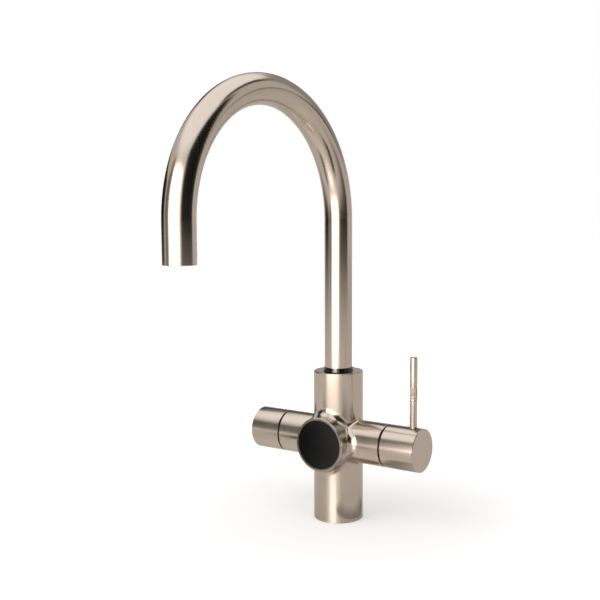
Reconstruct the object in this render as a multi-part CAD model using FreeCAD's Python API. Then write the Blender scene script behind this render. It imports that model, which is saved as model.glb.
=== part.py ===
import FreeCAD, Part
import math
import os

# Three way filtered water tap, in millimetres.
# The origin is the centre of the base, on the worktop. Z is up and the spout points to -Y.
# The mixer handle is on +X, the knob of the filtered water on -X, the filter's cap on -Y.
# Pieces that turn about an arm or about the boss are drawn upright, with their height counted
# from the axis of the body, and are then laid along their own axis by on_axis.

# Clearances
fit = 0.05          # all round, between pieces that stay together
running = 0.1       # all round, between a shaft and its hole
slack = 0.3         # between faces that pass each other
match = 0.001       # for finding an edge again by its size and place

# Body casting
body_r = 24.0
body_h = 145.8
base_wall = 4.5
base_ceiling = 50.0
arm_z = 78.6
arm_r = 20.5
boss_r = 25.95
boss_face = 31.2
blend_r = 8.0               # round the boss
arm_blend_r = 3.0           # where an arm joins the body
collar_round = 1.0
edge_break = 0.4
right_arm_end = 56.2
left_arm_end = 58.0
chamber_wall = 9.0
channel_r = 2.2
channel_rim = 1.4           # from the seal of a channel to the rim of the inlet block
channel_side = 5.5
pillar_wall = 3.0

# Inlet block in the base, with the hose sockets and the socket of the fixing stud
inlet_t = 22.0
inlet_bottom = 0.0
port_r = 4.5
port_depth = 12.0
port_rim = 2.5
port_spread = 35.0          # degrees to each side of the mixer's arm
stud_r = 3.4
stud_depth = 16.0
inlet_seal_wall = 1.4
inlet_seal_t = 1.2
screw_rim = 1.45
screw_r = 2.5
screw_head_r = 4.25
screw_head_t = 5.0
screw_grip = 12.0
base_seal_inset = 1.1
base_seal_w = 2.2
base_seal_t = 1.8

# Spout
tube_r = 13.35
tube_wall = 1.2
arch_z = 292.5
arch_r = 110.4
outlet_drop = 33.7          # from the end of the bend down to the outlet
swivel_r = 14.5
swivel_wall = 3.0
collar_depth = 31.8
stem_inset = 2.8
stem_grip = 14.0
stem_wall = 1.5
glide_rise = 3.6
glide_top_wall = 0.5
spout_swing = 150.0         # degrees from stop to stop
stop_slack = 0.6            # degrees
stop_screw_r = 2.5
stop_nose_r = 1.5
stop_groove_depth = 2.0
stem_seal_inset = 6.0
stem_seal_w = 2.4
stem_seal_depth = 1.6
spoke_t = 2.0
spoke_h = 6.0
spoke_count = 3

# Filtered water tube inside the spout
inner_tube_r = 3.0
inner_tube_wall = 0.8
inner_tube_dip = 8.0
inner_seal_wall = 1.9
inner_seal_t = 2.2
crossing_drop = 7.0

# Outlet
insert_h = 12.0
outlet_spoke_h = 4.0
insert_wall = 1.3
insert_inset = 0.5
nozzle_wall = 1.6
screen_t = 1.0
screen_inset = 1.2
screen_hole_r = 0.7
screen_holes = 14
screen_rows = (0.3, 0.72)   # shares of the ring's width
outlet_seal_depth = 0.8

# Cartridges and valve in the arms
cartridge_r = 12.5
cartridge_wall = 1.5
gasket_t = 1.0
cartridge_base_t = 4.0
mixer_disc_t = 3.0
carrier_t = 3.4
cartridge_roof_t = 3.0
neck_wall = 3.0
neck_l = 6.0
spindle_r = 5.0
disc_port_r = 2.2
supply_port_drop = 6.6
supply_port_side = 4.6
mixed_port_rise = 7.9
mixer_hollow = 150.0        # degrees
thread_runout = 1.5
valve_r = 9.5
valve_wall = 2.1
valve_disc_t = 2.5
valve_seat_r = 4.0
valve_port_hub = 1.0
valve_port_rim = 1.2
valve_port_span = 80.0      # degrees
valve_flange_t = 7.0
window_w = 7.0
window_h = 2.6
nut_r = 16.9
nut_notch_w = 3.0
nut_notch_depth = 2.5
ring_sleeve = 2.2
ring_wall = 2.9
ring_setback = 1.2

# Handles
handle_gap = 1.8
right_end = 93.2
left_end = 92.3
shell_wall = 2.6
shell_end_t = 3.0
hub_r = 8.6
hub_setback = 2.0
spline_r = 4.4
spline_depth = 0.5
spline_teeth = 16
spline_l = 14.0
grub_r = 2.0
grub_inset = 7.0
hex_r = 1.15
hex_depth = 1.6
lever_r = 3.5
lever_top = 165.6
lever_inset = 9.9
lever_root = 5.0
lever_round = 0.8
lever_boss_wall = 2.7
recess_wall = 1.5
recess_depth = 3.0

# Filter capsule and its cap
capsule_r = 16.3
capsule_wall = 1.5
capsule_floor = 2.0
cavity_back = 12.0
liner_wall = 1.35
liner_flange_t = 1.5
boss_wall = 3.95
socket_depth = 8.2
lid_flange_t = 2.0
skirt_wall = 2.0
stub_r = 8.0
cap_t = 2.9
lens_r = 23.6
lens_t = 1.4
lens_inset = 0.2
core_r = 12.3
core_bore_r = 3.5
spigot_r = 4.0
spigot_l = 4.65
spigot_bore_r = 2.2
spigot_seal_w = 1.5
spigot_seal_depth = 1.1
rear_wall = 5.5
capsule_seal_w = 2.0
capsule_seal_depth = 1.3
capsule_seal_inset = 5.8
capsule_seal_pitch = 5.0
raw_port_back = 6.0
raw_port_r = 1.5
capsule_ports = 8

# Sizes that follow from the ones above
base_bore_r = body_r - base_wall
channel_out = base_bore_r - channel_r - inlet_seal_wall - channel_rim
port_circle = base_bore_r - port_r - port_rim
screw_offset = base_bore_r - screw_head_r - slack - screw_rim
outlet_z = arch_z - outlet_drop
cavity_r = capsule_r + slack + liner_wall + fit
chamber_floor = cavity_r + chamber_wall
arm_bore_r = cartridge_r + fit
nut_bore_r = nut_r + fit
neck_r = spindle_r + running + neck_wall
shoulder = (chamber_floor + gasket_t + cartridge_base_t + 2 * mixer_disc_t + running
            + carrier_t + slack + cartridge_roof_t)
socket_r = boss_r - boss_wall
socket_floor = boss_face - socket_depth
liner_top = socket_floor + liner_flange_t
lid_back = liner_top + slack
lid_front = lid_back + lid_flange_t
cap_back = boss_face + slack
cap_front = cap_back + cap_t
canister_back = -cavity_back + liner_wall + slack
canister_floor = canister_back + capsule_floor
capsule_seal_heights = (lid_back - capsule_seal_inset - capsule_seal_pitch, lid_back - capsule_seal_inset)
band_low = capsule_seal_heights[0] - capsule_seal_w
band_high = capsule_seal_heights[1] + capsule_seal_w
collar_bore_r = swivel_r + running
collar_floor = body_h - collar_depth
stem_bottom = collar_floor + slack
tube_bottom = body_h - stem_inset
tube_bore_r = tube_r - tube_wall
insert_bore_r = tube_bore_r - fit - insert_wall
nozzle_r = inner_tube_r + fit + nozzle_wall
stop_z = (stem_bottom + tube_bottom) / 2
crossing_z = collar_floor - crossing_drop
rear_channel_y = body_r - rear_wall - channel_r
inlet_top = inlet_bottom + inlet_t

V = FreeCAD.Vector
ORIGIN = V(0, 0, 0)
UP = V(0, 0, 1)
RIGHT = V(1, 0, 0)
LEFT = V(-1, 0, 0)
FRONT = V(0, -1, 0)
BACK = V(0, 1, 0)
HALF_TURN = 180.0


# ---- Basic shapes ----

def turned(profile, angle=360):
    """Solid of revolution about Z, from a closed outline of (radius, height) corners."""
    corners = [V(radius, 0, height) for radius, height in profile]
    face = Part.Face(Part.makePolygon(corners + corners[:1]))
    return face.revolve(ORIGIN, UP, angle)


def disc(radius, low, high):
    """Upright round bar on Z."""
    return Part.makeCylinder(radius, high - low, V(0, 0, low), UP)


def ring(inner, outer, low, high):
    """Upright ring on Z."""
    return turned([(inner, low), (outer, low), (outer, high), (inner, high)])


def o_ring(inner, outer, height):
    """Round-section seal between two radii."""
    return Part.makeTorus((inner + outer) / 2, (outer - inner) / 2, V(0, 0, height), UP)


def rod(start, end, radius):
    """Round bar from one point to another."""
    return Part.makeCylinder(radius, (end - start).Length, start, end - start)


def hexagon(radius, low, high):
    """Upright six-sided bar, for the socket of a screw."""
    corners = [V(radius * math.cos(math.radians(60 * k)), radius * math.sin(math.radians(60 * k)), low)
               for k in range(6)]
    return Part.Face(Part.makePolygon(corners + corners[:1])).extrude(V(0, 0, high - low))


def splined_bar(radius, low, high):
    """Upright bar with straight teeth round it."""
    corners = []
    for k in range(4 * spline_teeth):
        angle = math.radians(90.0 * k / spline_teeth)
        reach = radius if k % 4 < 2 else radius - spline_depth
        corners.append(V(reach * math.cos(angle), reach * math.sin(angle), low))
    return Part.Face(Part.makePolygon(corners + corners[:1])).extrude(V(0, 0, high - low))


def around(shape, count, first=0.0):
    """Copies of a shape spaced evenly round Z, as one compound."""
    copies = []
    for k in range(count):
        turn = shape.copy()
        turn.rotate(ORIGIN, UP, first + 360.0 * k / count)
        copies.append(turn)
    return Part.makeCompound(copies)


def rim(shape, radius, height):
    """The round edges of an upright shape at one radius and height."""
    return [edge for edge in shape.Edges
            if isinstance(edge.Curve, Part.Circle)
            and abs(edge.Curve.Radius - radius) < match
            and abs(edge.Curve.Center.z - height) < match]


def on_axis(shape, outward):
    """Lay an upright shape along an arm or the boss, with its X pointing up."""
    laid = shape.copy()
    turn = FreeCAD.Rotation(UP, outward.cross(UP), outward, "ZXY")
    laid.Placement = FreeCAD.Placement(V(0, 0, arm_z), turn).multiply(laid.Placement)
    return laid


def grub(radius, low, high):
    """Upright headless screw with a hexagon socket in its upper end."""
    return disc(radius, low, high).cut(hexagon(hex_r, high - hex_depth, high + hex_depth))


# ---- Body casting ----

def ends_of(edge):
    return [edge.valueAt(edge.FirstParameter), edge.valueAt(edge.LastParameter)]


def on_body_side(edge):
    """Whether a curved edge lies on the round side of the upright body."""
    if not isinstance(edge.Curve, Part.BSplineCurve):
        return False
    middle = edge.valueAt((edge.FirstParameter + edge.LastParameter) / 2)
    return all(abs(math.hypot(point.x, point.y) - body_r) < fit for point in ends_of(edge) + [middle])


def upright_body():
    body = disc(body_r, 0, body_h)
    body = body.makeFillet(collar_round, rim(body, body_r, body_h))
    return body.makeChamfer(edge_break, rim(body, body_r, 0))


def crossbar():
    """Side arms and front boss in one, blended in the corners between them."""
    arms = disc(arm_r, -left_arm_end, right_arm_end)
    arms = arms.makeChamfer(edge_break, rim(arms, arm_r, -left_arm_end) + rim(arms, arm_r, right_arm_end))
    arms = on_axis(arms, RIGHT)
    reach = boss_face + blend_r
    through = arms.fuse(on_axis(disc(boss_r, -reach, reach), FRONT)).removeSplitter()
    corners = [edge for edge in through.Edges if isinstance(edge.Curve, Part.BSplineCurve)]
    rear = Part.makeBox(4 * reach, 2 * reach, 4 * reach, V(-2 * reach, 0, arm_z - 2 * reach))
    return through.makeFillet(blend_r, corners).cut(rear).fuse(arms).removeSplitter()


def seam_blend(point):
    """Radius of the blend at a point of the seam between body and crossbar."""
    on_boss = math.hypot(point.x, point.z - arm_z) < boss_r + fit
    return blend_r if on_boss else arm_blend_r


def seam_turn(point):
    """Angle of a point about the axis of the boss, seen from the front."""
    return math.atan2(point.z - arm_z, point.x)


def seam_rows(cross):
    """Number of each edge of the seam, with the blend's radius where a walk round the seam enters
    and leaves it. The walk starts below the boss, the way that edge runs."""
    seam = [(number, edge) for number, edge in enumerate(cross.Edges, 1) if on_body_side(edge)]
    seam.sort(key=lambda row: row[1].CenterOfMass.y)
    start, end = ends_of(seam[0][1])
    rows = []
    for number, edge in seam:
        enters, leaves = sorted(ends_of(edge), key=seam_turn, reverse=start.x > end.x)
        rows.append((number, seam_blend(enters), seam_blend(leaves)))
    return rows


def outer_body():
    """Upright body and crossbar, with a blend that narrows from the boss to the arms."""
    cross = upright_body().fuse(crossbar()).removeSplitter()
    drawing = FreeCAD.newDocument()
    plain = drawing.addObject("Part::Feature")
    plain.Shape = cross
    blend = drawing.addObject("Part::Fillet")
    blend.Base = plain
    blend.Edges = seam_rows(cross)
    drawing.recompute()
    surplus = disc(2 * boss_r, boss_face, boss_face + 2 * blend_r)
    return blend.Shape.cut(on_axis(surplus, FRONT))


def water_ports():
    """Where the three water channels leave the inlet block: cold, hot, and water to be filtered."""
    return [V(channel_out, -channel_side, 0), V(channel_out, channel_side, 0), V(-channel_out, 0, 0)]


def hose_ports():
    """Centres of the three hose sockets, in the same order as water_ports."""
    spread = math.radians(port_spread)
    across = port_circle * math.sin(spread)
    along = port_circle * math.cos(spread)
    return [V(along, -across, 0), V(along, across, 0), V(-port_circle, 0, 0)]


def screw_places():
    """Centres of the two screws that hold the inlet block."""
    return [V(0, -screw_offset, 0), V(0, screw_offset, 0)]


def pillars():
    """Cast posts between the ceiling of the base and the inlet block."""
    posts = []
    for place in water_ports() + screw_places():
        post = disc(channel_r + pillar_wall, inlet_top, base_ceiling + fit)
        posts.append(post.translated(place))
    return posts


def channels():
    """Water ways cored in the casting."""
    cold, hot, raw = water_ports()
    elbow = base_ceiling + 2 * channel_r
    mixed = V(collar_bore_r - swivel_wall - channel_r + running, 0, 0)
    low_entry = arm_z - supply_port_drop
    high_entry = arm_z + mixed_port_rise
    deep = chamber_floor + fit
    rise = deep - mixed.x
    ways = []
    for foot in (cold, hot):
        ways.append(rod(foot + UP * (inlet_top - fit), foot + UP * elbow, channel_r))
        side = math.copysign(supply_port_side, foot.y)
        ways.append(rod(foot + UP * elbow, V(deep, side, low_entry), channel_r))
    ways.append(rod(raw + UP * (inlet_top - fit), raw + UP * elbow, channel_r))
    ways.append(rod(raw + UP * elbow, V(-deep, 0, arm_z - channel_r / 2), channel_r))
    ways.append(rod(V(deep, 0, high_entry), V(mixed.x, 0, high_entry + rise), channel_r))
    ways.append(rod(V(mixed.x, 0, high_entry + rise), V(mixed.x, 0, collar_floor + fit), channel_r))
    outer_path = (arm_bore_r + valve_r) / 2
    valve_side = V(-deep, outer_path, arm_z)
    capsule_side = V(-cavity_r + liner_wall, raw_port_back, arm_z)
    ways.append(rod(valve_side, capsule_side, raw_port_r))
    rear = V(0, rear_channel_y, 0)
    ways.append(rod(rear + UP * arm_z, rear + UP * (crossing_z + channel_r), channel_r))
    ways.append(rod(rear + UP * crossing_z, V(0, 0, crossing_z), channel_r))
    return ways


def arm_bore(arm_end):
    """Chamber of a cartridge, with the wider thread of its nut."""
    chamber = disc(arm_bore_r, chamber_floor, shoulder + fit)
    thread = disc(nut_bore_r, shoulder - thread_runout, arm_end + slack)
    return chamber.fuse(thread)


def boss_bore():
    """Cavity of the capsule, the socket of its cap, and the socket of its spigot."""
    cavity = disc(cavity_r, -cavity_back, socket_floor + fit)
    socket = disc(socket_r, socket_floor, boss_face + slack)
    spigot = disc(spigot_r + running, canister_back - spigot_l - slack, -cavity_back + fit)
    return cavity.fuse([socket, spigot])


def collar_bore():
    """Socket of the spout, and the bore of the filtered water tube below it."""
    mouth = turned([(0, body_h - edge_break), (collar_bore_r, body_h - edge_break),
                    (collar_bore_r + edge_break, body_h), (0, body_h)])
    socket = disc(collar_bore_r, collar_floor, body_h - edge_break + fit)
    seal_seat = disc(inner_tube_r + running + inner_seal_wall, collar_floor - inner_seal_t,
                     collar_floor + fit)
    well = disc(inner_tube_r + running, crossing_z - channel_r, collar_floor)
    return socket.fuse([mouth, seal_seat, well])


def stop_screw_hole():
    """Threaded hole from behind into the socket of the spout."""
    return rod(V(0, swivel_r - slack, stop_z), V(0, body_r + slack, stop_z), stop_screw_r + fit)


def seal_groove():
    """Groove under the base for the worktop seal."""
    inner = base_bore_r + base_seal_inset
    return ring(inner, inner + base_seal_w, -slack, base_seal_t)


def screw_bores():
    """Threaded holes in the posts for the screws of the inlet block."""
    return [disc(screw_r + fit, inlet_top - slack, inlet_top + screw_grip + slack).translated(place)
            for place in screw_places()]


def body_casting():
    base = disc(base_bore_r, -slack, base_ceiling)
    base = base.cut(pillars())
    hollows = [base, seal_groove(), stop_screw_hole(), collar_bore()]
    hollows.append(on_axis(arm_bore(right_arm_end), RIGHT))
    hollows.append(on_axis(arm_bore(left_arm_end), LEFT))
    hollows.append(on_axis(boss_bore(), FRONT))
    return outer_body().cut(hollows + channels() + screw_bores())


def base_seal():
    inner = base_bore_r + base_seal_inset
    return ring(inner + fit, inner + base_seal_w - fit, 0, base_seal_t)


# ---- Inlet block ----

def inlet_manifold():
    """Round block with three hose sockets, the stud's socket, and slanted ways to the channels."""
    block = disc(base_bore_r - fit, inlet_bottom, inlet_top)
    cuts = [disc(stud_r, inlet_bottom - slack, inlet_bottom + stud_depth)]
    for hose, water in zip(hose_ports(), water_ports()):
        cuts.append(disc(port_r, inlet_bottom - slack, inlet_bottom + port_depth).translated(hose))
        cuts.append(rod(hose + UP * (inlet_bottom + port_depth - channel_r),
                        water + UP * inlet_top, channel_r - fit))
        seat = disc(channel_r + inlet_seal_wall, inlet_top - inlet_seal_t, inlet_top + slack)
        cuts.append(seat.translated(water))
    for place in screw_places():
        cuts.append(disc(screw_r + slack, inlet_bottom - slack, inlet_top + slack).translated(place))
        head = disc(screw_head_r + slack, inlet_bottom - slack, inlet_bottom + screw_head_t + slack)
        cuts.append(head.translated(place))
    return block.cut(cuts)


def manifold_seals():
    seal = ring(channel_r, channel_r + inlet_seal_wall - fit, inlet_top - inlet_seal_t, inlet_top)
    return Part.makeCompound([seal.translated(place) for place in water_ports()])


def manifold_screws():
    """Two socket screws up through the inlet block into the casting's posts."""
    head_low = inlet_bottom + slack
    head_high = head_low + screw_head_t
    shank = disc(screw_r, head_high - fit, inlet_top + screw_grip)
    head = disc(screw_head_r, head_low, head_high).cut(hexagon(2 * hex_r, 0, head_low + 2 * hex_depth))
    screw = head.fuse(shank)
    return Part.makeCompound([screw.translated(place) for place in screw_places()])


# ---- Spout ----

def bent_tube(outer, inner, low, end_z):
    """Swan-neck tube: up the riser, half a turn forward, and down to the outlet."""
    section = Part.Face([Part.Wire(Part.makeCircle(outer, V(0, 0, arch_z))),
                         Part.Wire(Part.makeCircle(inner, V(0, 0, arch_z)))])
    riser = ring(inner, outer, low, arch_z)
    bend = section.revolve(V(0, -arch_r, arch_z), RIGHT, HALF_TURN)
    drop = ring(inner, outer, end_z, arch_z).translated(V(0, -2 * arch_r, 0))
    return riser.fuse([bend, drop])


def spout_tube():
    tube = bent_tube(tube_r, tube_bore_r, tube_bottom, outlet_z)
    return tube.makeChamfer(edge_break, rim(tube, tube_r, outlet_z))


def groove(outer, depth, width, height):
    """Ring-shaped cut into the outside of a bar."""
    return ring(outer - depth, outer + slack, height - width / 2, height + width / 2)


def stem_seal_heights():
    return (stem_bottom + stem_seal_inset, tube_bottom - stem_seal_inset)


def stop_groove():
    """Groove round the back of the stem that the stop screw runs in."""
    nose_tip = swivel_r - stop_groove_depth + slack
    nose_angle = math.degrees(math.asin(stop_nose_r / nose_tip))
    half = spout_swing / 2 + nose_angle + stop_slack
    low = stop_z - stop_nose_r - slack
    high = stop_z + stop_nose_r + slack
    inner = swivel_r - stop_groove_depth
    cut = turned([(inner, low), (swivel_r + slack, low), (swivel_r + slack, high), (inner, high)], 2 * half)
    cut.rotate(ORIGIN, UP, 90 - half)
    return cut


def spout_stem():
    """Swivel sleeve in the collar, with a spigot up into the tube and a spoked hub for the inner tube."""
    inner = swivel_r - swivel_wall
    outer = tube_bore_r - fit
    neck = outer - stem_wall
    top = tube_bottom + stem_grip
    sleeve = turned([(inner, stem_bottom), (swivel_r, stem_bottom), (swivel_r, tube_bottom),
                     (outer, tube_bottom), (outer, top), (neck, top), (neck, tube_bottom - stem_wall),
                     (inner, tube_bottom - 2 * stem_wall)])
    hub_low = stem_bottom + channel_r
    hub_bore = inner_tube_r + fit
    hub = ring(hub_bore, hub_bore + nozzle_wall, hub_low, hub_low + spoke_h)
    spoke_corner = V(hub_bore + nozzle_wall / 2, -spoke_t / 2, hub_low)
    spoke = Part.makeBox(inner - hub_bore, spoke_t, spoke_h, spoke_corner)
    stem = sleeve.fuse([hub] + around(spoke, spoke_count, HALF_TURN).Solids)
    cuts = [groove(swivel_r, stem_seal_depth, stem_seal_w, height) for height in stem_seal_heights()]
    return stem.cut(cuts + [stop_groove()])


def spout_seals():
    inner = swivel_r - stem_seal_depth + fit
    return Part.makeCompound([o_ring(inner, collar_bore_r - fit, height) for height in stem_seal_heights()])


def spout_glide_ring():
    """Black polished ring round the foot of the tube, slightly tapered where it shows."""
    bore = tube_r + fit
    top = body_h + glide_rise
    return turned([(bore, tube_bottom), (swivel_r, tube_bottom), (swivel_r, body_h),
                   (bore + glide_top_wall, top), (bore, top)])


def spout_stop_screw():
    """Headless screw in the back of the collar, with its nose in the stem's groove."""
    tip = swivel_r - stop_groove_depth + slack
    body = grub(stop_screw_r, collar_bore_r + slack, body_r - slack)
    nose = disc(stop_nose_r, tip, collar_bore_r + 2 * slack)
    screw = body.fuse(nose)
    screw.Placement = FreeCAD.Placement(V(0, 0, stop_z), FreeCAD.Rotation(UP, BACK))
    return screw


def filtered_tube():
    """Thin tube that keeps the filtered water apart all the way to the outlet."""
    low = collar_floor - inner_tube_dip + channel_r
    end = outlet_z + insert_inset + insert_h / 2
    return bent_tube(inner_tube_r, inner_tube_r - inner_tube_wall, low, end)


def tube_seal():
    bore = inner_tube_r + running
    return ring(bore, bore + inner_seal_wall - fit, collar_floor - inner_seal_t, collar_floor)


def outlet_insert():
    """Two-way outlet: ring for mixed water, nozzle in the middle for filtered water."""
    outer = tube_bore_r - fit
    low = outlet_z + insert_inset
    high = low + insert_h
    middle = (low + high) / 2
    shell = ring(insert_bore_r, outer, low, high)
    nozzle = turned([(inner_tube_r - inner_tube_wall, low), (nozzle_r, low), (nozzle_r, high),
                     (inner_tube_r + fit, high), (inner_tube_r + fit, middle),
                     (inner_tube_r - inner_tube_wall, middle)])
    spoke = Part.makeBox(insert_bore_r - inner_tube_r - 2 * fit, spoke_t, outlet_spoke_h,
                         V(nozzle_r - nozzle_wall / 2, -spoke_t / 2, high - outlet_spoke_h))
    insert = shell.fuse([nozzle] + around(spoke, spoke_count).Solids)
    insert = insert.cut(groove(outer, outlet_seal_depth, outlet_seal_depth + slack, middle))
    return insert.translated(V(0, -2 * arch_r, 0))


def aerator_screen():
    """Pierced ring that evens out the mixed water."""
    inner = nozzle_r + fit
    outer = insert_bore_r - fit
    low = outlet_z + screen_inset
    plate = ring(inner, outer, low, low + screen_t)
    holes = []
    for row, share in enumerate(screen_rows):
        hole = disc(screen_hole_r, low - slack, low + screen_t + slack)
        hole.translate(V(inner + share * (outer - inner), 0, 0))
        holes += around(hole, screen_holes, HALF_TURN * row / screen_holes).Solids
    return plate.cut(holes).translated(V(0, -2 * arch_r, 0))


def outlet_seal():
    inner = tube_bore_r - fit - outlet_seal_depth + fit
    height = outlet_z + insert_inset + insert_h / 2
    return o_ring(inner, tube_bore_r - fit, height).translated(V(0, -2 * arch_r, 0))


# ---- Arms ----

def disc_ports(low, high):
    """Three round ports: two for the supplies, one for the mixed water. X is up, Y is to the front."""
    ports = []
    for up, front in ((-supply_port_drop, supply_port_side), (-supply_port_drop, -supply_port_side),
                      (mixed_port_rise, 0)):
        ports.append(disc(disc_port_r, low - slack, high + slack).translated(V(up, front, 0)))
    return ports


def mixer_base_seal():
    gasket = disc(cartridge_r - fit, chamber_floor, chamber_floor + gasket_t)
    return on_axis(gasket.cut(disc_ports(chamber_floor, chamber_floor + gasket_t)), RIGHT)


def mixer_cartridge():
    """Cartridge housing: ported base, wall, roof and the neck that guides the spindle."""
    low = chamber_floor + gasket_t
    floor = low + cartridge_base_t
    inner = cartridge_r - cartridge_wall
    bore = spindle_r + running
    roof = shoulder - cartridge_roof_t
    housing = turned([(0, low), (cartridge_r, low), (cartridge_r, shoulder), (neck_r, shoulder),
                      (neck_r, shoulder + neck_l), (bore, shoulder + neck_l), (bore, roof),
                      (inner, roof), (inner, floor), (0, floor)])
    return on_axis(housing.cut(disc_ports(low, floor)), RIGHT)


def mixer_fixed_disc():
    low = chamber_floor + gasket_t + cartridge_base_t
    plate = disc(cartridge_r - cartridge_wall - fit, low, low + mixer_disc_t)
    return on_axis(plate.cut(disc_ports(low, low + mixer_disc_t)), RIGHT)


def mixer_moving_disc():
    """Upper ceramic disc, with the hollow that joins the ports as it turns."""
    low = chamber_floor + gasket_t + cartridge_base_t + mixer_disc_t + running
    plate = disc(cartridge_r - cartridge_wall - slack, low, low + mixer_disc_t)
    reach = mixed_port_rise + disc_port_r
    hollow = turned([(disc_port_r, low - slack), (reach, low - slack), (reach, low + mixer_disc_t / 2),
                     (disc_port_r, low + mixer_disc_t / 2)], mixer_hollow)
    hollow.rotate(ORIGIN, UP, -mixer_hollow / 2)
    return on_axis(plate.cut(hollow), RIGHT)


def spindle(carrier_low, carrier_r, handle_start):
    """Spindle with a wide foot on the moving disc and a splined end in the handle's hub."""
    hub_low = handle_start + hub_setback
    carrier = disc(carrier_r, carrier_low, carrier_low + carrier_t)
    shaft = disc(spindle_r, carrier_low + carrier_t - fit, hub_low - slack)
    drive = splined_bar(spline_r, hub_low - slack - fit, hub_low + spline_l)
    return carrier.fuse([shaft, drive])


def mixer_spindle():
    low = chamber_floor + gasket_t + cartridge_base_t + 2 * mixer_disc_t + running
    return on_axis(spindle(low, cartridge_r - cartridge_wall - slack, right_arm_end + handle_gap), RIGHT)


def valve_base_seal():
    return on_axis(ring(valve_seat_r, valve_r - fit, chamber_floor, chamber_floor + gasket_t), LEFT)


def valve_body():
    """Headpart of the quarter-turn valve, with side windows where the water leaves."""
    low = chamber_floor + gasket_t
    inner = valve_r - valve_wall
    bore = spindle_r + running
    ceiling = low + 2 * valve_disc_t + running + carrier_t + slack
    flange = shoulder - valve_flange_t
    body = turned([(inner, low), (valve_r, low), (valve_r, flange), (arm_bore_r - fit, flange),
                   (arm_bore_r - fit, shoulder), (neck_r, shoulder), (neck_r, shoulder + neck_l),
                   (bore, shoulder + neck_l), (bore, ceiling), (inner, ceiling)])
    window = Part.makeBox(window_w, 2 * valve_r + 2 * slack, window_h,
                          V(-window_w / 2, -valve_r - slack, ceiling - window_h - slack))
    return on_axis(body.cut(window), LEFT)


def quarter_ports(plate_r, low, high):
    """Two opposite quarter openings in a valve disc."""
    outer = plate_r - valve_port_rim
    sector = turned([(valve_port_hub, low - slack), (outer, low - slack), (outer, high + slack),
                     (valve_port_hub, high + slack)], valve_port_span)
    return around(sector, 2, -valve_port_span / 2).Solids


def valve_fixed_disc():
    low = chamber_floor + gasket_t
    radius = valve_r - valve_wall - fit
    plate = disc(radius, low, low + valve_disc_t).cut(quarter_ports(radius, low, low + valve_disc_t))
    return on_axis(plate, LEFT)


def valve_moving_disc():
    low = chamber_floor + gasket_t + valve_disc_t + running
    radius = valve_r - valve_wall - slack
    plate = disc(radius, low, low + valve_disc_t).cut(quarter_ports(radius, low, low + valve_disc_t))
    plate.rotate(ORIGIN, UP, 90)
    return on_axis(plate, LEFT)


def valve_spindle():
    low = chamber_floor + gasket_t + 2 * valve_disc_t + running
    return on_axis(spindle(low, valve_r - valve_wall - slack, left_arm_end + handle_gap), LEFT)


def arm_nut(arm_end, outward):
    """Threaded ring that presses on the shoulder of the cartridge, with four notches for its key."""
    high = arm_end - ring_sleeve
    nut = ring(neck_r + slack, nut_r, shoulder, high)
    notch = Part.makeBox(nut_r, nut_notch_w, 2 * nut_notch_depth,
                         V(neck_r + neck_wall, -nut_notch_w / 2, high - nut_notch_depth))
    return on_axis(nut.cut(around(notch, 4).Solids), outward)


def glide_ring(arm_end, outward):
    """Dark ring in the gap between an arm and its handle, plugged into the mouth of the arm."""
    inner = nut_r - ring_wall
    outer = arm_r - ring_setback
    low = arm_end - ring_sleeve
    high = arm_end + handle_gap - slack
    profile = [(inner, low), (nut_r, low), (nut_r, arm_end), (outer, arm_end), (outer, high), (inner, high)]
    return on_axis(turned(profile), outward)


# ---- Handles ----

def handle_shell(arm_end, end):
    """Round end cap with a hub on the spindle's splines and a hole for its set screw underneath."""
    start = arm_end + handle_gap
    hub_low = start + hub_setback
    inner = arm_r - shell_wall
    cup = turned([(inner, start), (arm_r - edge_break, start), (arm_r, start + edge_break),
                  (arm_r, end - edge_break), (arm_r - edge_break, end), (0, end),
                  (0, end - shell_end_t), (inner, end - shell_end_t)])
    hub = disc(hub_r, hub_low, end - shell_end_t + fit)
    bore = splined_bar(spline_r + fit, hub_low - fit, hub_low + spline_l + slack)
    grub_hole = rod(V(0, 0, hub_low + grub_inset), V(-arm_r - slack, 0, hub_low + grub_inset), grub_r + fit)
    return cup.fuse(hub).cut([bore, grub_hole])


def set_screw(arm_end, outward):
    """Headless screw up through the hub onto the splines."""
    screw = grub(grub_r, spline_r + 2 * fit, hub_r)
    height = arm_end + handle_gap + hub_setback + grub_inset
    screw.Placement = FreeCAD.Placement(V(0, 0, height), FreeCAD.Rotation(UP, LEFT))
    return on_axis(screw, outward)


def lever_height():
    return right_end - lever_inset


def mixer_handle():
    """Right-hand end cap, with a post inside and a small round recess where the lever stands."""
    shell = handle_shell(right_arm_end, right_end)
    place = V(0, 0, lever_height())
    post = rod(place, place + V(arm_r - shell_wall / 2, 0, 0), lever_r + lever_boss_wall)
    hole = rod(place + V(lever_root, 0, 0), place + V(arm_r + slack, 0, 0), lever_r + fit)
    recess = rod(place + V(arm_r - recess_depth, 0, 0), place + V(arm_r + slack, 0, 0),
                 lever_r + recess_wall)
    return on_axis(shell.fuse(post).cut([hole, recess]), RIGHT)


def lever_pin():
    """Thin upright lever with a rounded top."""
    low = arm_z + lever_root
    pin = Part.makeCylinder(lever_r, lever_top - low, V(lever_height(), 0, low), UP)
    return pin.makeFillet(lever_round, rim(pin, lever_r, lever_top))


def filter_knob():
    return on_axis(handle_shell(left_arm_end, left_end), LEFT)


# ---- Filter capsule ----

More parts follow.
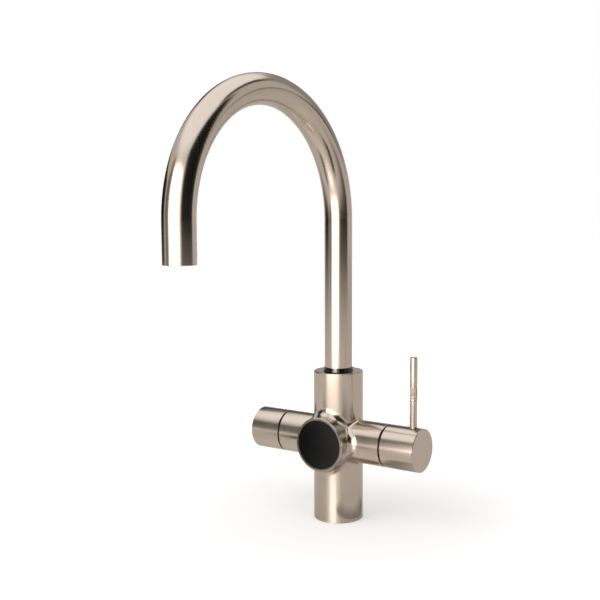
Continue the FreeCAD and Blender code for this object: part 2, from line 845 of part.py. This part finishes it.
def capsule_liner():
    """Plastic sleeve of the capsule's cavity, with a flange in front and a port at the side."""
    inner = capsule_r + slack
    outer = inner + liner_wall
    hole = spigot_r + slack
    back = -cavity_back
    sleeve = turned([(hole, back), (outer, back), (outer, socket_floor), (socket_r - fit, socket_floor),
                     (socket_r - fit, liner_top), (inner, liner_top), (inner, back + liner_wall),
                     (hole, back + liner_wall)])
    port = rod(V(0, inner - slack, -raw_port_back), V(0, outer + slack, -raw_port_back), raw_port_r)
    return on_axis(sleeve.cut(port), FRONT)


def capsule_grooves():
    return [groove(capsule_r, capsule_seal_depth, capsule_seal_w, height)
            for height in capsule_seal_heights]


def spigot_seal_height():
    return canister_back - spigot_l / 2 - liner_wall / 2


def capsule_canister():
    """Capsule can: side ports let the water in, the spigot behind lets it out."""
    inner = capsule_r - capsule_wall
    tip = canister_back - spigot_l
    can = turned([(spigot_bore_r, tip), (spigot_r, tip), (spigot_r, canister_back),
                  (capsule_r, canister_back), (capsule_r, lid_back), (inner, lid_back),
                  (inner, canister_floor), (spigot_bore_r, canister_floor)])
    port = rod(V(inner - slack, 0, -raw_port_back), V(capsule_r + slack, 0, -raw_port_back), raw_port_r)
    cuts = around(port, capsule_ports).Solids
    cuts.append(groove(spigot_r, spigot_seal_depth, spigot_seal_w, spigot_seal_height()))
    # The can is thickest at its seals, so the grooves are cut from a ring inside the wall.
    band = ring(inner - capsule_seal_depth, inner + fit, band_low, band_high)
    return on_axis(can.fuse(band).cut(cuts + capsule_grooves()), FRONT)


def capsule_lid():
    """Front end of the capsule, with the stub that carries the cap."""
    plug_r = capsule_r - capsule_wall - fit
    lid = disc(socket_r - slack - skirt_wall - slack, lid_back, lid_front)
    plug = disc(plug_r, band_high + fit, lid_back + fit)
    stub = disc(stub_r, lid_front - fit, cap_back - slack)
    return on_axis(lid.fuse([plug, stub]), FRONT)


def filter_core():
    """Annular filter block."""
    return on_axis(ring(core_bore_r, core_r, canister_floor, band_high), FRONT)


def capsule_seals():
    inner = capsule_r - capsule_seal_depth + fit
    rings = Part.makeCompound([o_ring(inner, capsule_r + slack - fit, height)
                               for height in capsule_seal_heights])
    return on_axis(rings, FRONT)


def spigot_seal():
    inner = spigot_r - spigot_seal_depth + fit
    return on_axis(o_ring(inner, spigot_r + running - fit, spigot_seal_height()), FRONT)


def cap_ring():
    """Metal cap: thin front rim round the disc, skirt into the boss, socket on the capsule's stub."""
    skirt_outer = socket_r - slack
    skirt_inner = skirt_outer - skirt_wall
    seat = cap_front - lens_inset - lens_t
    bore = stub_r + running
    profile = [(0, cap_back), (bore, cap_back), (bore, lid_front + slack),
               (bore + skirt_wall, lid_front + slack), (bore + skirt_wall, cap_back),
               (skirt_inner, cap_back), (skirt_inner, lid_back), (skirt_outer, lid_back),
               (skirt_outer, cap_back), (boss_r - edge_break, cap_back), (boss_r, cap_back + edge_break),
               (boss_r, cap_front - edge_break), (boss_r - edge_break, cap_front),
               (lens_r + fit, cap_front), (lens_r + fit, seat), (0, seat)]
    return on_axis(turned(profile), FRONT)


def cap_disc():
    """Plain black disc set into the cap."""
    high = cap_front - lens_inset
    return on_axis(disc(lens_r, high - lens_t, high), FRONT)


pieces = {
    "body_casting": body_casting,
    "base_seal": base_seal,
    "inlet_manifold": inlet_manifold,
    "manifold_seals": manifold_seals,
    "manifold_screws": manifold_screws,
    "spout_tube": spout_tube,
    "spout_stem": spout_stem,
    "spout_seals": spout_seals,
    "spout_glide_ring": spout_glide_ring,
    "spout_stop_screw": spout_stop_screw,
    "filtered_tube": filtered_tube,
    "tube_seal": tube_seal,
    "outlet_insert": outlet_insert,
    "aerator_screen": aerator_screen,
    "outlet_seal": outlet_seal,
    "mixer_base_seal": mixer_base_seal,
    "mixer_cartridge": mixer_cartridge,
    "mixer_fixed_disc": mixer_fixed_disc,
    "mixer_moving_disc": mixer_moving_disc,
    "mixer_spindle": mixer_spindle,
    "mixer_nut": lambda: arm_nut(right_arm_end, RIGHT),
    "mixer_glide_ring": lambda: glide_ring(right_arm_end, RIGHT),
    "mixer_handle": mixer_handle,
    "mixer_set_screw": lambda: set_screw(right_arm_end, RIGHT),
    "lever_pin": lever_pin,
    "valve_base_seal": valve_base_seal,
    "valve_body": valve_body,
    "valve_fixed_disc": valve_fixed_disc,
    "valve_moving_disc": valve_moving_disc,
    "valve_spindle": valve_spindle,
    "valve_nut": lambda: arm_nut(left_arm_end, LEFT),
    "knob_glide_ring": lambda: glide_ring(left_arm_end, LEFT),
    "filter_knob": filter_knob,
    "knob_set_screw": lambda: set_screw(left_arm_end, LEFT),
    "capsule_liner": capsule_liner,
    "capsule_canister": capsule_canister,
    "capsule_lid": capsule_lid,
    "filter_core": filter_core,
    "capsule_seals": capsule_seals,
    "spigot_seal": spigot_seal,
    "cap_ring": cap_ring,
    "cap_disc": cap_disc,
}

os.makedirs("parts", exist_ok=True)
for name, make in pieces.items():
    shape = make()
    shape.exportStep("parts/" + name + ".step")
    print(name, "solids", len(shape.Solids), "volume", round(shape.Volume, 1), "valid", shape.isValid())
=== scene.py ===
import math

import bmesh
import bpy
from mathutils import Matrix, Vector


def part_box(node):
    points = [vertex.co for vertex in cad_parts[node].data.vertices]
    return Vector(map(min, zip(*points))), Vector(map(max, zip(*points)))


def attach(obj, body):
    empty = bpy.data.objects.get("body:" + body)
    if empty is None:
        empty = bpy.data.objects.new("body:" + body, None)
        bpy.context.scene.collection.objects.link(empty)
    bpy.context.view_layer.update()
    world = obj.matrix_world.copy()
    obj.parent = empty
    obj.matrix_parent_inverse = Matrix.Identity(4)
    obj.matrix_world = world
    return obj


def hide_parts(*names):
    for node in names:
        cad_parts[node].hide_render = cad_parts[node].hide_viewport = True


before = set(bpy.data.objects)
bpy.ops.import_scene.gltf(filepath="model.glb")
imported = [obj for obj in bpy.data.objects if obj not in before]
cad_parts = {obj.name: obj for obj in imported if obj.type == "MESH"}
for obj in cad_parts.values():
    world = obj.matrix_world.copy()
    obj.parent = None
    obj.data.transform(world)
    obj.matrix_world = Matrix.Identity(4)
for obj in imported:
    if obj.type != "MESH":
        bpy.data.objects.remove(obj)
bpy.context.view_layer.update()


# ---- Materials ----

noise_low = 0.3             # nearly all of a noise lies between these two
noise_high = 0.7
broad_detail = 3.0
fine_detail = 2.0


def link(material, start, end):
    material.node_tree.links.new(start, end)


def add_node(material, kind, **settings):
    node = material.node_tree.nodes.new(kind)
    for name, value in settings.items():
        setattr(node, name, value)
    return node


def noise(material, place, scale, detail):
    """Noise over the object's own coordinates, in features per metre."""
    node = add_node(material, "ShaderNodeTexNoise")
    node.inputs["Scale"].default_value = scale
    node.inputs["Detail"].default_value = detail
    link(material, place, node.inputs["Vector"])
    return node.outputs["Fac"]


def spread(material, source, low, high):
    """Stretch a noise, which stays near its middle, over a range of values."""
    node = add_node(material, "ShaderNodeMapRange")
    node.inputs["From Min"].default_value = noise_low
    node.inputs["From Max"].default_value = noise_high
    node.inputs["To Min"].default_value = low
    node.inputs["To Max"].default_value = high
    link(material, source, node.inputs["Value"])
    return node.outputs["Result"]


def finish(name, tones, roughness, blotches, grain, height, metallic=0.0, stretch=(1, 1, 1), specular=0.5):
    """Material with two close tones in soft blotches, and fine grain in its roughness and surface.
    Roughness holds the lowest and highest value in the blotches, and how far the grain moves it.
    Blotches and grain are in features per metre, and height is the height of the grain."""
    material = bpy.data.materials.new(name)
    material.use_nodes = True
    shader = material.node_tree.nodes["Principled BSDF"]
    shader.inputs["Metallic"].default_value = metallic
    shader.inputs["Specular IOR Level"].default_value = specular
    place = add_node(material, "ShaderNodeMapping")
    place.inputs["Scale"].default_value = stretch
    link(material, add_node(material, "ShaderNodeTexCoord").outputs["Object"], place.inputs["Vector"])
    broad = noise(material, place.outputs["Vector"], blotches, broad_detail)
    fine = noise(material, place.outputs["Vector"], grain, fine_detail)
    colour = add_node(material, "ShaderNodeMix", data_type="RGBA")
    colour.inputs["A"].default_value = (*tones[0], 1)
    colour.inputs["B"].default_value = (*tones[1], 1)
    link(material, spread(material, broad, 0, 1), colour.inputs["Factor"])
    link(material, colour.outputs["Result"], shader.inputs["Base Color"])
    mixed = add_node(material, "ShaderNodeMath", operation="ADD")
    link(material, spread(material, broad, roughness[0], roughness[1]), mixed.inputs[0])
    link(material, spread(material, fine, -roughness[2], roughness[2]), mixed.inputs[1])
    link(material, mixed.outputs["Value"], shader.inputs["Roughness"])
    bump = add_node(material, "ShaderNodeBump")
    bump.inputs["Strength"].default_value = 1.0
    bump.inputs["Distance"].default_value = height
    link(material, fine, bump.inputs["Height"])
    link(material, bump.outputs["Normal"], shader.inputs["Normal"])
    return material


finishes = {
    "satin_nickel": finish("satin_nickel", ((0.62, 0.535, 0.452), (0.64, 0.553, 0.468)),
                           (0.17, 0.2, 0.008), 30, 1500, 0.0000004, metallic=1.0),
    "polished_ring": finish("polished_ring", ((0.005, 0.003, 0.002), (0.008, 0.005, 0.003)),
                            (0.05, 0.08, 0.01), 60, 1500, 0.0000005),
    "dark_ring": finish("dark_ring", ((0.004, 0.003, 0.003), (0.008, 0.006, 0.005)),
                        (0.28, 0.36, 0.04), 120, 1800, 0.000004, specular=0.3),
    "black_disc": finish("black_disc", ((0.003, 0.003, 0.0032), (0.004, 0.004, 0.0042)),
                         (0.1, 0.13, 0.02), 70, 2600, 0.0000008, specular=0.9),
    "brass": finish("brass", ((0.70, 0.50, 0.24), (0.76, 0.57, 0.30)),
                    (0.26, 0.36, 0.05), 90, 900, 0.000004, metallic=1.0),
    "screw_steel": finish("screw_steel", ((0.50, 0.50, 0.50), (0.58, 0.58, 0.585)),
                          (0.24, 0.34, 0.05), 160, 1400, 0.000004, metallic=1.0),
    "seal_rubber": finish("seal_rubber", ((0.014, 0.014, 0.014), (0.026, 0.025, 0.024)),
                          (0.55, 0.7, 0.08), 200, 2200, 0.00001),
    "disc_ceramic": finish("disc_ceramic", ((0.78, 0.77, 0.73), (0.85, 0.84, 0.81)),
                           (0.12, 0.2, 0.03), 150, 1600, 0.000002),
    "inner_plastic": finish("inner_plastic", ((0.66, 0.66, 0.63), (0.72, 0.72, 0.70)),
                            (0.38, 0.5, 0.05), 110, 1400, 0.000006),
    "tube_plastic": finish("tube_plastic", ((0.72, 0.75, 0.77), (0.78, 0.80, 0.81)),
                           (0.3, 0.4, 0.04), 140, 1200, 0.000004, stretch=(1, 1, 0.2)),
    "filter_media": finish("filter_media", ((0.03, 0.03, 0.032), (0.11, 0.11, 0.115)),
                           (0.75, 0.95, 0.1), 900, 2400, 0.00006),
}

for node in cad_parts.values():
    old = node.data.materials[0]
    for slot, material in finishes.items():
        if old is not None and old.name.startswith(slot):
            node.material_slots[0].material = material


# ---- Lever ----

knurl_low = 0.1255
knurl_high = 0.1382
knurl_pitch = 0.0013
knurl_depth = 0.0004
knurl_gain = 1.35           # above 1, the tops of the diamonds are flat
knurl_samples = 8           # per diamond, up and around
band_groove = 0.0003
band_groove_h = 0.0007
lever_break = 0.0003        # chamfer at the foot
lever_round = 0.0008        # at the top
round_steps = 8
sharp_edge = 40.0           # degrees


def triangle_wave(value):
    """Ridge of height 1 halfway between two grooves."""
    return 1 - abs(2 * (value % 1) - 1)


def knurled_radius(radius, turn, height, count):
    """Radius of the diamond knurl: two families of crossed helical grooves."""
    along = (height - knurl_low) / knurl_pitch
    ridge = min(triangle_wave(count * turn + along), triangle_wave(count * turn - along))
    edge = min(1.0, min(height - knurl_low, knurl_high - height) / knurl_pitch)
    return radius - knurl_depth * (1 - min(1.0, knurl_gain * ridge)) * edge


def lever_profile(radius, low, high):
    """Heights and radii up the lever: rounded top, and a shallow groove at each end of the knurl."""
    rows = [(radius - lever_break, low), (radius, low + lever_break)]
    half = band_groove_h / 2
    for groove in (knurl_low - half, knurl_high + half):
        rows += [(radius, groove - half), (radius - band_groove, groove - half / 2),
                 (radius - band_groove, groove + half / 2), (radius, groove + half)]
    for step in range(round_steps + 1):
        angle = math.radians(90 * step / round_steps)
        rows.append((radius - lever_round * (1 - math.cos(angle)),
                     high - lever_round * (1 - math.sin(angle))))
    band_rows = round((knurl_high - knurl_low) / knurl_pitch * knurl_samples)
    for step in range(1, band_rows):
        rows.append((radius, knurl_low + (knurl_high - knurl_low) * step / band_rows))
    return sorted(rows, key=lambda row: row[1])


def make_lever():
    """Thin lever with a knurled band, in place of the plain pin."""
    low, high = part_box("lever_pin")
    middle = (low + high) / 2
    radius = (high.y - low.y) / 2
    count = round(2 * math.pi * radius / knurl_pitch)
    around = count * knurl_samples
    mesh = bmesh.new()
    rows = []
    for row_radius, height in lever_profile(radius, low.z, high.z):
        row = []
        for k in range(around):
            turn = k / around
            reach = row_radius
            if knurl_low < height < knurl_high:
                reach = knurled_radius(radius, turn, height, count)
            angle = 2 * math.pi * turn
            row.append(mesh.verts.new((middle.x + reach * math.cos(angle),
                                       middle.y + reach * math.sin(angle), height)))
        rows.append(row)
    for lower, upper in zip(rows, rows[1:]):
        for k in range(around):
            after = (k + 1) % around
            mesh.faces.new((lower[k], lower[after], upper[after], upper[k]))
    mesh.faces.new(list(reversed(rows[0])))
    mesh.faces.new(rows[-1])
    data = bpy.data.meshes.new("knurled_lever")
    mesh.to_mesh(data)
    mesh.free()
    data.shade_smooth()
    data.set_sharp_from_angle(angle=math.radians(sharp_edge))
    lever = bpy.data.objects.new("knurled_lever", data)
    bpy.context.scene.collection.objects.link(lever)
    data.materials.append(finishes["satin_nickel"])
    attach(lever, "mixer")
    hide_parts("lever_pin")


make_lever()


# ---- Floor, studio and camera ----

# Brightness seen in reflections, where 1 is white
room_colour = (1.0, 0.96, 0.92)
room_level = 0.62
ceiling_colour = (1.0, 1.0, 1.02)
ceiling_level = 1.2
ceiling_low = 0.55          # sine of the angle above the horizon where the ceiling starts
ceiling_high = 0.8
softbox_level = 2.6
core_level = 14.0

# Light on the object, and the floor
white = (1, 1, 1)
surround_level = 0.75
floor_reach = 4.0
floor_tones = ((0.74, 0.70, 0.66), (0.76, 0.72, 0.68))
floor_glow = (1.0, 1.06, 1.15)
near_lift = 0.3             # glow that the camera sees near the object, where the shadow is; being lower than far_lift, it also paints a soft shade on the floor round the object
far_lift = 0.5
near_reach = 0.05
far_reach = 0.4
floor_polish = 0.25
polish_roughness = 0.3

# Places of the cards
front_y = -0.80
core_y = -0.79
back_y = 0.80
side_x = 0.55
corner_x = -1.00
box_left = -0.28
box_right = 0.46
box_top = 0.78
edge_low = -0.39            # outer end of the softbox's soft left edge, below edge_step
edge_high = -0.34           # and above it
edge_step = 0.20
edge_full = -0.26           # inner end of that edge's fade
edge_right = 0.72
flag_left = -0.75
flag_top = 0.92
drop_left = -0.35
drop_right = 0.40
card_rise = 0.002
disc_mirror = (-0.1716, -0.284)     # the place of the floor that the black disc mirrors
disc_turn = -34.4                   # degrees


def upright(start, end, low, high):
    """Corners of an upright rectangle over two points of the floor."""
    return [(*start, low), (*end, low), (*end, high), (*start, high)]


def lying(left, right, front, back):
    """Corners of a flat rectangle at the height of its own origin."""
    return [(left, front, 0), (right, front, 0), (right, back, 0), (left, back, 0)]


def flat_piece(name, corners, material):
    """One flat four-sided stage piece."""
    data = bpy.data.meshes.new(name)
    data.from_pydata(corners, [], [(0, 1, 2, 3)])
    data.materials.append(material)
    piece = bpy.data.objects.new(name, data)
    bpy.context.scene.collection.objects.link(piece)
    return piece


def floor_glow_node(material, path):
    """Glow that only the camera sees, and that grows away from the object, so that the floor near the
    object gets a painted soft shade on top of its real shadow.
    """
    glow = add_node(material, "ShaderNodeEmission")
    glow.inputs["Color"].default_value = (*floor_glow, 1)
    reach = add_node(material, "ShaderNodeVectorMath", operation="LENGTH")
    link(material, add_node(material, "ShaderNodeTexCoord").outputs["Object"], reach.inputs["Vector"])
    rise = add_node(material, "ShaderNodeMapRange", interpolation_type="SMOOTHSTEP")
    rise.inputs["From Min"].default_value = near_reach
    rise.inputs["From Max"].default_value = far_reach
    rise.inputs["To Min"].default_value = near_lift
    rise.inputs["To Max"].default_value = far_lift
    link(material, reach.outputs["Value"], rise.inputs["Value"])
    lift = add_node(material, "ShaderNodeMath", operation="MULTIPLY")
    link(material, rise.outputs["Result"], lift.inputs[1])
    link(material, path.outputs["Is Camera Ray"], lift.inputs[0])
    link(material, lift.outputs["Value"], glow.inputs["Strength"])
    return glow


def floor_material():
    """Pale floor: white to the camera with the object's shadow kept and a little painted shade round the
    object, slightly polished in reflections.
    """
    material = finish("floor_pale", floor_tones, (0.8, 0.9, 0.02), 4, 300, 0.00002, specular=0.0)
    nodes = material.node_tree.nodes
    path = add_node(material, "ShaderNodeLightPath")
    polish = add_node(material, "ShaderNodeBsdfGlossy")
    polish.inputs["Roughness"].default_value = polish_roughness
    share = add_node(material, "ShaderNodeMath", operation="MULTIPLY")
    share.inputs[1].default_value = floor_polish
    link(material, path.outputs["Is Glossy Ray"], share.inputs[0])
    surface = add_node(material, "ShaderNodeMixShader")
    link(material, share.outputs["Value"], surface.inputs["Fac"])
    link(material, nodes["Principled BSDF"].outputs["BSDF"], surface.inputs[1])
    link(material, polish.outputs["BSDF"], surface.inputs[2])
    both = add_node(material, "ShaderNodeAddShader")
    link(material, surface.outputs["Shader"], both.inputs[0])
    link(material, floor_glow_node(material, path).outputs["Emission"], both.inputs[1])
    link(material, both.outputs["Shader"], nodes["Material Output"].inputs["Surface"])
    return material


def card(name, corners, strength, fade=None):
    """Studio card that only reflections show. With a fade, given as an axis and two places along it,
    the card goes from the room's tone at the first place to its own at the second."""
    material = bpy.data.materials.new(name)
    material.use_nodes = True
    material.node_tree.nodes.remove(material.node_tree.nodes["Principled BSDF"])
    glow = add_node(material, "ShaderNodeEmission")
    glow.inputs["Color"].default_value = (*room_colour, 1)
    glow.inputs["Strength"].default_value = strength
    if fade:
        axis, first, second = fade
        place = add_node(material, "ShaderNodeTexCoord")
        axes = add_node(material, "ShaderNodeSeparateXYZ")
        ramp = add_node(material, "ShaderNodeMapRange", interpolation_type="SMOOTHSTEP")
        ramp.inputs["From Min"].default_value = first
        ramp.inputs["From Max"].default_value = second
        ramp.inputs["To Min"].default_value = room_level
        ramp.inputs["To Max"].default_value = strength
        link(material, place.outputs["Object"], axes.inputs["Vector"])
        link(material, axes.outputs[axis], ramp.inputs["Value"])
        link(material, ramp.outputs["Result"], glow.inputs["Strength"])
    link(material, glow.outputs["Emission"], material.node_tree.nodes["Material Output"].inputs["Surface"])
    piece = flat_piece(name, corners, material)
    piece.visible_camera = False
    piece.visible_diffuse = False
    piece.visible_shadow = False
    return piece


def floor_card(name, corners, strength, fade=None, place=(0, 0), turn=0):
    """Card just above the floor, at its place and turned by some degrees."""
    piece = card(name, corners, strength, fade)
    piece.location = (*place, card_rise)
    piece.rotation_euler = (0, 0, math.radians(turn))


flat_piece("floor", lying(-floor_reach, floor_reach, -floor_reach, floor_reach), floor_material())

# Name, start and end over the floor, lower and upper edge, brightness, fade
for name, start, end, foot, top, strength, fade in (
        ("softbox", (box_left, front_y), (box_right, front_y), 0.0, box_top, softbox_level, None),
        ("softbox_left_low", (edge_low, front_y), (box_left, front_y), 0.0, edge_step,
         softbox_level, ("X", edge_low, edge_full)),
        ("softbox_left_high", (edge_high, front_y), (box_left, front_y), edge_step, box_top,
         softbox_level, ("X", edge_high, edge_full)),
        ("softbox_right", (box_right, front_y), (edge_right, front_y), 0.0, box_top,
         softbox_level, ("X", edge_right, box_right)),
        ("softbox_core", (-0.08, core_y), (0.30, core_y), 0.21, 0.36, core_level, None),
        ("side_flag", (flag_left, front_y), (edge_low, front_y), 0.05, flag_top,
         0.15, ("Z", 0.06, edge_step)),
        ("side_flag_inner", (edge_low, front_y), (edge_high, front_y), edge_step, flag_top, 0.3, None),
        ("side_flag_outer", (-0.92, front_y), (flag_left, front_y), 0.17, 0.76, 0.15, ("Z", 0.18, 0.32)),
        ("right_flag", (side_x, -0.60), (side_x, 0.25), 0.06, 0.86, 0.0, ("Z", 0.08, 0.29)),
        ("left_flag", (-side_x, -0.45), (-side_x, 0.10), 0.06, 0.50, 0.0, ("Z", 0.08, 0.29)),
        ("back_flag", (corner_x, back_y), (drop_left, back_y), 0.25, 1.00, 0.1, ("Z", 0.27, 0.40)),
        ("corner_flag", (corner_x, 0.25), (corner_x, back_y), 0.40, 1.20, 0.0, ("Z", 0.40, 0.50)),
        ("back_drop", (drop_left, back_y), (drop_right, back_y), 0.35, 1.30, 0.33, ("Z", 0.37, 0.50)),
        ("back_corner", (drop_right, back_y), (0.80, back_y), 0.38, 0.62, 0.0, ("Z", 0.38, 0.46)),
        ("high_flag", (0.95, 0.25), (0.45, 1.00), 1.22, 1.60, 0.05, None)):
    card(name, upright(start, end, foot, top), strength, fade)

# Painted shade: a darkish card on the floor round the foot and under the arms, seen only in reflections
# and darker towards the body, standing in for the floor's contact shadow there
floor_card("foot_flag", lying(0.026, 0.075, -0.06, 0.06), 0.27, ("X", 0.075, 0.03))
floor_card("right_floor_flag", lying(0.30, 0.46, -0.30, -0.02), 0.0)
floor_card("floor_flag", lying(-0.04, 0.08, -0.20, 0.125), 0.0, ("X", 0.08, -0.035),
           disc_mirror, disc_turn)
floor_card("floor_flag_edge", lying(-0.075, -0.04, -0.20, 0.125), 0.0, ("X", -0.075, -0.045),
           disc_mirror, disc_turn)


def make_world():
    """White to the camera, a pale room with a brighter ceiling in reflections, and soft light."""
    world = bpy.data.worlds.new("studio")
    bpy.context.scene.world = world
    world.use_nodes = True
    nodes = world.node_tree.nodes
    nodes.clear()

    def background(colour, strength):
        shader = nodes.new("ShaderNodeBackground")
        shader.inputs["Color"].default_value = (*colour, 1)
        shader.inputs["Strength"].default_value = strength
        return shader

    def blend(factor, first, second):
        mix = nodes.new("ShaderNodeMixShader")
        world.node_tree.links.new(factor, mix.inputs["Fac"])
        world.node_tree.links.new(first.outputs[0], mix.inputs[1])
        world.node_tree.links.new(second.outputs[0], mix.inputs[2])
        return mix

    place = nodes.new("ShaderNodeTexCoord")
    axes = nodes.new("ShaderNodeSeparateXYZ")
    world.node_tree.links.new(place.outputs["Generated"], axes.inputs["Vector"])
    ceiling = nodes.new("ShaderNodeMapRange")
    ceiling.interpolation_type = "SMOOTHSTEP"
    ceiling.inputs["From Min"].default_value = ceiling_low
    ceiling.inputs["From Max"].default_value = ceiling_high
    world.node_tree.links.new(axes.outputs["Z"], ceiling.inputs["Value"])
    room = blend(ceiling.outputs["Result"], background(room_colour, room_level),
                 background(ceiling_colour, ceiling_level))
    path = nodes.new("ShaderNodeLightPath")
    lit = blend(path.outputs["Is Glossy Ray"], background(white, surround_level), room)
    through = blend(path.outputs["Is Transmission Ray"], lit, room)
    seen = blend(path.outputs["Is Camera Ray"], through, background(white, 1.0))
    output = nodes.new("ShaderNodeOutputWorld")
    world.node_tree.links.new(seen.outputs[0], output.inputs["Surface"])


make_world()


# Two square lamps aimed at one place on the object
lamp_aim = (0, -0.05, 0.15)
lamp_size = 1.0


def lamp(name, place, power):
    """Soft lamp that lights the object and shows neither to the camera nor in reflections."""
    data = bpy.data.lights.new(name, "AREA")
    data.shape = "SQUARE"
    data.size = lamp_size
    data.energy = power
    piece = bpy.data.objects.new(name, data)
    bpy.context.scene.collection.objects.link(piece)
    piece.location = place
    piece.rotation_mode = "QUATERNION"
    piece.rotation_quaternion = (Vector(lamp_aim) - Vector(place)).to_track_quat("-Z", "Y")
    piece.visible_camera = False
    piece.visible_glossy = False


lamp("key_lamp", (-0.5, -1.1, 1.3), 7.0)
lamp("fill_lamp", (1.2, -0.6, 0.9), 3.0)

camera_place = (0.4872, -0.7436, 0.2994)
camera_heading = (-0.5396, 0.8419)
camera_pitch = 5.46         # degrees down
camera_lens = 55.35
camera_shift = -0.0793
camera_sensor = 36
clip_near = 0.01
clip_far = 50


def make_camera():
    """Camera at the photograph's viewing angle."""
    data = bpy.data.cameras.new("camera")
    data.lens = camera_lens
    data.sensor_width = camera_sensor
    data.shift_x = camera_shift
    data.clip_start = clip_near
    data.clip_end = clip_far
    camera = bpy.data.objects.new("camera", data)
    bpy.context.scene.collection.objects.link(camera)
    camera.location = camera_place
    pitch = math.radians(camera_pitch)
    across = math.cos(pitch)
    look = Vector((camera_heading[0] * across, camera_heading[1] * across, -math.sin(pitch)))
    camera.rotation_mode = "QUATERNION"
    camera.rotation_quaternion = look.to_track_quat("-Z", "Y")
    bpy.context.scene.camera = camera


make_camera()

bpy.context.scene.view_settings.view_transform = "Standard"
